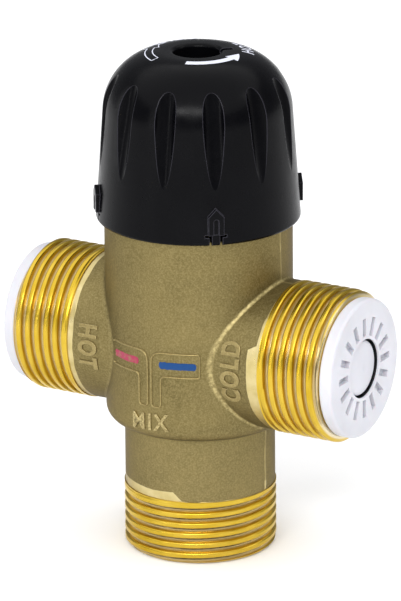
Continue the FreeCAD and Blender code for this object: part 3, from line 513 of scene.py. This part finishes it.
def is_thread(points):
    """Whether a face belongs to a thread, its chamfer or its end face."""
    for name, (_, inward) in PORTS.items():
        spots = [to_port(point, inward) for point in points]
        if all(-SLACK < along < THREAD_LENGTH + SLACK and radius > MOUTHS[name] - SLACK
               for along, radius in spots):
            return True
    return False


def is_machined(point):
    """Whether a place on the body lies in a bore, on a seat or on the collar."""
    bore_wall = NECK_RADIUS - 0.1 * MM
    in_bore = math.hypot(point.x, point.y) < bore_wall
    in_port = abs(point.x) > NECK_RADIUS and to_port(point, PORTS["hot"][1])[1] < bore_wall
    return in_bore or in_port or point.z > BODY_HIGH.z - COLLAR_HEIGHT


def forged_body():
    """The CAD body's own surface without its thread zones."""
    source = nodes["valve_body"].data
    spots = [v.co.copy() for v in source.vertices]
    kept = [f for f in source.polygons if not is_thread([spots[v] for v in f.vertices])]
    used = sorted({v for f in kept for v in f.vertices})
    index = {v: i for i, v in enumerate(used)}
    thing = piece("body_forging", [spots[v] for v in used],
                  [[index[v] for v in f.vertices] for f in kept], [forging, turned_brass],
                  "valve", "forged_brass")
    for face, origin in zip(thing.data.polygons, kept):
        face.material_index = int(is_machined(origin.center))
    normals = [0.0] * (3 * len(source.loops))
    source.corner_normals.foreach_get("vector", normals)
    thing.data.normals_split_custom_set([normals[3 * c:3 * c + 3] for f in kept for c in f.loop_indices])
    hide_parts("valve_body")


def groove_share(phase):
    """Depth of a worn 55 degree thread, as a share of its full depth; the crest is at phase 0."""
    root, flank, worn = 0.1, 0.5, 0.35
    slope = min(max((abs(2 * phase - 1) - root) / flank, 0.0), 1.0)
    return 1 - slope - worn * (slope * slope * (3 - 2 * slope) - slope)


def pipe_thread(name):
    """Right-hand pipe thread with a chamfered start, a run-out and its end face."""
    centre, inward = PORTS[name]
    side = Vector((0, 1, 0)).cross(inward).normalized()
    across = inward.cross(side)
    columns, samples = 160, 14          # cells round a turn, rows to a pitch
    first, last = -samples, math.ceil(THREAD_LENGTH / PITCH * samples)
    runout_length = 0.7 * PITCH
    verts, shares, rows = [], [], {}

    def add(turn, along, radius, share):
        way = side * math.cos(math.tau * turn) + across * math.sin(math.tau * turn)
        verts.append(centre + inward * along + way * radius)
        shares.append(share)

    def corner(row, column):
        if column == columns:
            row, column = row + samples, 0
        return rows[min(row, last), column]

    for row in range(first, last + 1):
        for column in range(columns):
            turn = column / columns
            along = min(max((row / samples + turn) * PITCH, 0.0), THREAD_LENGTH)
            phase = (along / PITCH - turn) % 1.0
            share = groove_share(phase) * min((THREAD_LENGTH - along) / runout_length, 1.0)
            radius = min(CREST - DEPTH * share, CREST - CHAMFER + along)
            rows[row, column] = len(verts)
            add(turn, along, radius, min((CREST - radius) / DEPTH, 1.0))
    faces = [(corner(r, c), corner(r, c + 1), corner(r + 1, c + 1), corner(r + 1, c))
             for r in range(first, last) for c in range(columns)]

    # end face inwards to the mouth, and the step down to the neck
    for along, radius, row in ((0.0, MOUTHS[name], first), (THREAD_LENGTH, NECK_RADIUS - 0.05 * MM, last)):
        start = len(verts)
        for column in range(columns):
            add(column / columns, along, radius, 0.0)
        for column in range(columns):
            following = (column + 1) % columns
            faces.append((start + column, start + following, rows[row, following], rows[row, column]))
    thing = piece(f"{name}_thread", verts, faces, [thread_brass[main_axis(inward)]], "valve",
                  "machined_brass")
    groove = thing.data.attributes.new("groove", "FLOAT", "POINT")
    groove.data.foreach_set("value", shares)
    shape = bmesh.new()
    shape.from_mesh(thing.data)
    bmesh.ops.remove_doubles(shape, verts=shape.verts, dist=WELD)
    bmesh.ops.recalc_face_normals(shape, faces=shape.faces)
    shape.to_mesh(thing.data)
    shape.free()
    thing.data.set_sharp_from_angle(angle=math.radians(50))


def lettering(name, text, place, material, body, slot, size, bold, raise_by, bevel=0.0):
    """Letters laid on a surface: place turns (right, up, lift) in metres into a point."""
    curve = bpy.data.curves.new(name, "FONT")
    curve.body = text
    curve.size = size
    curve.align_x = "CENTER"
    curve.align_y = "CENTER"
    curve.offset = bold
    curve.space_character = 1.2
    curve.extrude = raise_by / 2
    curve.bevel_depth = bevel
    curve.bevel_resolution = 1
    source = bpy.data.objects.new(name, curve)
    shape = bmesh.new()
    shape.from_mesh(bpy.data.meshes.new_from_object(source))
    bpy.data.objects.remove(source)
    bpy.data.curves.remove(curve)
    # cut into small cells, so that the letters bend with the surface
    cell = size / 8
    reach = size * len(text)
    for axis in (Vector((1, 0, 0)), Vector((0, 1, 0))):
        for k in range(-math.ceil(reach / cell), math.ceil(reach / cell) + 1):
            bmesh.ops.bisect_plane(shape, geom=shape.verts[:] + shape.edges[:] + shape.faces[:],
                                   plane_co=axis * (k * cell), plane_no=axis)
    verts = [place(v.co.x, v.co.y, v.co.z) for v in shape.verts]
    shape.verts.index_update()
    faces = [[v.index for v in f.verts] for f in shape.faces]
    shape.free()
    piece(name, verts, faces, [material], body, slot, smooth=False)


def coil_spring(name, body):
    """A CAD spring's own surface, copied into a piece of its own."""
    source = nodes[name].data
    thing = piece(f"{name}_coil", [v.co.copy() for v in source.vertices],
                  [list(f.vertices) for f in source.polygons], [steel], body, "steel")
    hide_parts(name)
    return thing


def spring_between(name, way):
    """CAD spring baked in place, on no body; way points from its fixed end to the moved one."""
    thing = coil_spring(name, None)
    low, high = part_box(name)
    start = (low + high) / 2
    end = start.copy()
    axis = main_axis(way)
    near, far = (low, high) if sum(way) > 0 else (high, low)
    start[axis] = near[axis]
    end[axis] = far[axis]
    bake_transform(thing)


def spring_on_seat(name, body, joint):
    """Spring on a body, with a mesh of its own; the joint's range is read, but nothing shortens the
    spring.
    """
    thing = coil_spring(name, body)
    lowest, highest = joints[joint]["range_m"]
    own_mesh(thing)


def ribbon(name, stations, place, material, body, slot):
    """Thin print: stations are (position, low edge, high edge), each row split into a few cells."""
    cells = 8
    verts, faces = [], []
    for position, low, high in stations:
        verts += [place(position, low + (high - low) * k / cells) for k in range(cells + 1)]
    for row in range(len(stations) - 1):
        for k in range(cells):
            a = row * (cells + 1) + k
            b = a + cells + 1
            faces.append((a, a + 1, b + 1, b))
    piece(name, verts, faces, [material], body, slot)


def refined(path, parts_between):
    """Path with more points; parts_between says into how many parts a stretch is cut."""
    fine = []
    for first, second in zip(path, path[1:]):
        parts = parts_between(first, second)
        fine += [tuple(a + (b - a) * k / parts for a, b in zip(first, second)) for k in range(parts)]
    return fine + [path[-1]]


# cross-section of a ridge: shares of its width and of its height
RIDGE = ((-0.5, -0.3), (-0.36, 0.55), (-0.15, 1.0), (0.15, 1.0), (0.36, 0.55), (0.5, -0.3))


def raised_line(name, path, place, material, body, slot, width, height, closed=True):
    """Rounded ridge along a path of (u, v) in metres, which place sets on a surface."""
    cell = 0.6 * MM
    fine = refined(path + path[:1] if closed else path,
                   lambda first, second: max(1, math.ceil(math.dist(first, second) / cell)))
    if closed:
        fine.pop()
    count = len(fine)
    verts, faces = [], []
    for i, (u, v) in enumerate(fine):
        before = fine[i - 1] if closed or i else fine[i]
        after = fine[(i + 1) % count] if closed or i + 1 < count else fine[i]
        du, dv = after[0] - before[0], after[1] - before[1]
        length = math.hypot(du, dv)
        for offset, rise in RIDGE:
            shift = offset * width / length
            verts.append(place(u - dv * shift, v + du * shift, rise * height))
    step = len(RIDGE)
    for i in range(count if closed else count - 1):
        for k in range(step - 1):
            a = i * step + k
            b = (i + 1) % count * step + k
            faces.append((a, a + 1, b + 1, b))
    piece(name, verts, faces, [material], body, slot)


def rounded(corners):
    """Closed outline through corners (u, v, radius), each corner turned into a short curve."""
    steps = 6
    path = []
    for i, (u, v, radius) in enumerate(corners):
        here = Vector((u, v))
        before, after = Vector(corners[i - 1][:2]), Vector(corners[(i + 1) % len(corners)][:2])
        to_before, to_after = (before - here).normalized(), (after - here).normalized()
        start, end = here + to_before * radius, here + to_after * radius
        for k in range(steps + 1):
            t = k / steps
            path.append(tuple(start * (1 - t) ** 2 + here * 2 * t * (1 - t) + end * t ** 2))
    return path


# ------------------------------------------------------------------------------------------------
# Threads, springs, and the sign and words on the forging
# ------------------------------------------------------------------------------------------------
BRASS = ("valve", "forged_brass")   # body and slot of what stands on the forging
PAINT_LIFT = 0.05 * MM
SIGN_ANGLE = -1.65                  # the sign's middle, in degrees from -Y
LEG = (0.45 * MM, 2.7 * MM)         # a leg's inner and outer edge, from the sign's middle
LEG_END = -9.3 * MM
ARM = (-2.1 * MM, 3.2 * MM)         # an arm's lower and upper edge, from the ports' axis
ARM_END = 11.3 * MM


def on_flank(u, v, lift):
    """Barrel skin by arc length from the middle of the sign and height from the ports' axis."""
    return on_barrel(math.degrees(u / BARREL_RADIUS) + SIGN_ANGLE, PORT_HEIGHT + v, lift)


def arm_outline(sign):
    """Outline of an arm that turns down into its leg; sign is 1 for cold and -1 for hot."""
    tip, crook, foot, elbow = 0.4 * MM, 1.2 * MM, 0.9 * MM, 2.6 * MM
    corners = [(ARM_END, ARM[0], tip), (LEG[1], ARM[0], crook), (LEG[1], LEG_END, foot),
               (LEG[0], LEG_END, foot), (LEG[0], ARM[1], elbow), (ARM_END, ARM[1], tip)]
    return rounded([(sign * u, v, radius) for u, v, radius in corners])


def bar_stations(sign, start, end):
    """Painted bar with round ends and an uneven edge."""
    steps, end_steps = 60, 4
    middle, half_height = 0.45 * MM, 0.78 * MM
    stations = []
    for k in range(steps + 1):
        u = start + (end - start) * k / steps
        nearness = min(1.0, min(k, steps - k) / end_steps)
        half = half_height * math.sqrt(nearness * (2 - nearness))
        sway = 0.12 * MM * noise.noise(Vector((u * 400, sign * 3.0, 0)))
        rough = 0.1 * MM * noise.noise(Vector((u * 1500, sign * 5.0, 1)))
        stations.append((sign * u, middle + sway - half - rough, middle + sway + half - rough))
    return stations


def on_mix(u, v, lift):
    """Letters on the flank below the sign, a little narrow and rising to the right."""
    return on_flank(0.84 * u - 0.2 * MM, 0.95 * v - 13.1 * MM + 0.05 * u, lift)


def on_inlet(sign, middle, narrow):
    """Letters round an inlet's neck, their feet towards the port."""
    def place(u, v, lift):
        return on_neck(sign * (middle - v), math.degrees(sign * narrow * u / NECK_RADIUS), lift)
    return place


forged_body()
for port in PORTS:
    pipe_thread(port)

spring_between("hot_check_spring", Vector((-1, 0, 0)))
spring_between("cold_check_spring", Vector((1, 0, 0)))
spring_between("overload_spring", Vector((0, 0, -1)))
spring_on_seat("return_spring", "valve", "piston_travel")

# flow sign: a cold and a hot arm that turn down side by side, each with a painted bar
for side, sign, paint_skin, ends in (("cold", 1, blue_paint, (2.3 * MM, 10.7 * MM)),
                                     ("hot", -1, red_paint, (2.8 * MM, 10.9 * MM))):
    raised_line(f"{side}_arm", arm_outline(sign), on_flank, raised, *BRASS, width=0.5 * MM,
                height=0.3 * MM, closed=sign > 0)
    ribbon(f"{side}_paint", bar_stations(sign, *ends), lambda u, v: on_flank(u, v, PAINT_LIFT),
           paint_skin, *BRASS)

lettering("word_mix", "MIX", on_mix, painted_light_raised, *BRASS, size=5.6 * MM, bold=0.03 * MM,
          raise_by=0.4 * MM, bevel=0.08 * MM)
for text, sign, middle, narrow in (("COLD", 1, 17.2 * MM, 0.76), ("HOT", -1, 18.8 * MM, 0.72)):
    lettering(f"word_{text.lower()}", text, on_inlet(sign, middle, narrow), raised, *BRASS,
              size=6.0 * MM, bold=0.16 * MM, raise_by=0.34 * MM, bevel=0.12 * MM)


# ------------------------------------------------------------------------------------------------
# Prints on the cap's top: a solid arrow, and an outlined one that points the other way
# ------------------------------------------------------------------------------------------------
PRINT = (print_white, "dial", "black_plastic")
PRINT_LIFT = 0.06 * MM
RING = 9.2 * MM                     # circle that the solid arrow follows
OUTER, INNER = 11.2 * MM, 9.6 * MM  # the outlined arrow's edges
TAIL, BARB, TIP = -30, -78, -100    # its tail, the back of its head and its tip, in degrees
WORD_RING = 11.0 * MM


def crown_ribbon(name, start, end, half_start, half_end):
    """Printed stroke along the ring, whose half width changes evenly from its start to its end."""
    steps = 24
    stations = []
    for k in range(steps + 1):
        half = half_start + (half_end - half_start) * k / steps
        stations.append((start + (end - start) * k / steps, RING - half, RING + half))
    ribbon(name, stations, lambda angle, radius: on_crown(angle, radius, PRINT_LIFT), *PRINT)


def crown_line(name, path):
    """Thin printed line through (angle, radius) points on the cap's top."""
    half_width = 0.11 * MM
    # at least two parts to a stretch, and none longer than two degrees
    fine = refined(path, lambda first, second: max(2, math.ceil(abs(second[0] - first[0]) / 2)))
    flat = [(round_axis(angle) * radius).xy for angle, radius in fine]
    verts = []
    for i, spot in enumerate(flat):
        before, after = flat[max(i - 1, 0)], flat[min(i + 1, len(flat) - 1)]
        along = (after - before).normalized()
        for sign in (-1, 1):
            edge = spot + Vector((-along.y, along.x)) * (sign * half_width)
            angle = math.degrees(math.atan2(edge.x, -edge.y))
            verts.append(on_crown(angle, edge.length, PRINT_LIFT))
    faces = [(2 * i, 2 * i + 1, 2 * i + 3, 2 * i + 2) for i in range(len(flat) - 1)]
    piece(name, verts, faces, [print_white], "dial", "black_plastic")


def on_crown_word(middle):
    """Letters that stand on a circle of the cap's top, their feet towards the rim."""
    def place(u, v, lift):
        return on_crown(middle + math.degrees(u / WORD_RING), WORD_RING - v, PRINT_LIFT + lift)
    return place


crown_ribbon("solid_arrow_shaft", 15, 84, 0.75 * MM, 0.75 * MM)
crown_ribbon("solid_arrow_head", 82, 104, 1.7 * MM, 0.05 * MM)
crown_line("outlined_arrow", [(BARB, OUTER), (TAIL, OUTER), (TAIL, INNER), (BARB, INNER),
                              (BARB, INNER - 1 * MM), (TIP, (OUTER + INNER) / 2),
                              (BARB, OUTER + 1 * MM), (BARB, OUTER)])
for text, middle in (("HOT", 138), ("COLD", -122)):
    lettering(f"print_{text.lower()}", text, on_crown_word(middle), *PRINT, size=3.6 * MM,
              bold=0.06 * MM, raise_by=0.02 * MM)


# ------------------------------------------------------------------------------------------------
# Stage, light and camera
# ------------------------------------------------------------------------------------------------
def stage_floor():
    """Pale card under the valve."""
    finish = Finish("floor_card", Roughness=0.9)
    cloud = finish.grain(2.0, 2.0)
    finish.wear("Base Color", finish.blend(cloud, colour(250, 250, 250), colour(253, 253, 253)))
    half = 6.0
    mesh = bpy.data.meshes.new("floor")
    mesh.from_pydata([(-half, -half, 0), (half, -half, 0), (half, half, 0), (-half, half, 0)], [],
                     [(0, 1, 2, 3)])
    mesh.materials.append(finish.material)
    thing = place_object("floor", mesh)
    thing.location.z = -0.2 * MM        # just clear of the outlet's end face


def soft_light(name, angle, height, distance, size, power):
    """Softbox at an angle round the part, aimed at its middle."""
    light = bpy.data.lights.new(name, "AREA")
    light.shape = "RECTANGLE"
    light.size, light.size_y = size
    light.energy = power
    thing = place_object(name, light)
    aim = Vector((0, 0, 0.05))
    thing.location = aim + round_axis(angle) * distance + Vector((0, 0, height))
    thing.rotation_euler = (aim - thing.location).to_track_quat("-Z", "Y").to_euler()


def overhead_light(angle, tip, spread, strength):
    """Wide even light from above that leaves no fall-off on the floor."""
    light = bpy.data.lights.new("overhead", "SUN")
    light.energy = strength
    light.angle = math.radians(spread)
    thing = place_object("overhead", light)
    way = round_axis(angle) * math.sin(math.radians(tip)) + Vector((0, 0, math.cos(math.radians(tip))))
    thing.rotation_euler = way.to_track_quat("Z", "Y").to_euler()


def world_light(strength):
    """Faint cool light from all round."""
    world = bpy.data.worlds.new("studio")
    world.use_nodes = True
    back = world.node_tree.nodes["Background"]
    back.inputs["Strength"].default_value = strength
    back.inputs["Color"].default_value = (0.93, 0.95, 1.0, 1.0)
    bpy.context.scene.world = world


def camera(distance, turn, rise, roll, focal_length):
    """Long lens above the cold side's front quarter; angles in degrees, focal length in mm."""
    aim = Vector((0, 0, 0.05495))
    up_angle = math.radians(rise)
    back = round_axis(turn) * math.cos(up_angle) + Vector((0, 0, math.sin(up_angle)))
    right = (-back).cross(Vector((0, 0, 1))).normalized()
    up = right.cross(-back)
    tilt = math.radians(roll)
    right, up = right * math.cos(tilt) + up * math.sin(tilt), up * math.cos(tilt) - right * math.sin(tilt)
    lens = bpy.data.cameras.new("camera")
    lens.sensor_width = 36.0
    lens.lens = focal_length
    lens.clip_start, lens.clip_end = 0.05, 50.0
    thing = place_object("camera", lens)
    spot = aim + back * distance + right * 0.3 * MM
    turned = Matrix((right, up, back)).transposed().to_4x4()
    thing.matrix_world = Matrix.Translation(spot) @ turned
    bpy.context.scene.camera = thing


stage_floor()
world_light(0.3)
overhead_light(angle=28, tip=12, spread=120, strength=2.8)
soft_light("key", angle=20, height=0.68, distance=1.05, size=(0.85, 0.15), power=7.0)
soft_light("strip", angle=-24, height=0.1, distance=1.1, size=(0.07, 0.8), power=1.2)
soft_light("side", angle=112, height=0.6, distance=1.2, size=(0.3, 0.9), power=1.6)
soft_light("edge", angle=-80, height=0.3, distance=1.0, size=(0.1, 0.6), power=0.7)
camera(distance=1.2936, turn=30.28, rise=18.58, roll=-0.43, focal_length=357.05943)
bpy.context.scene.view_settings.view_transform = "Standard"
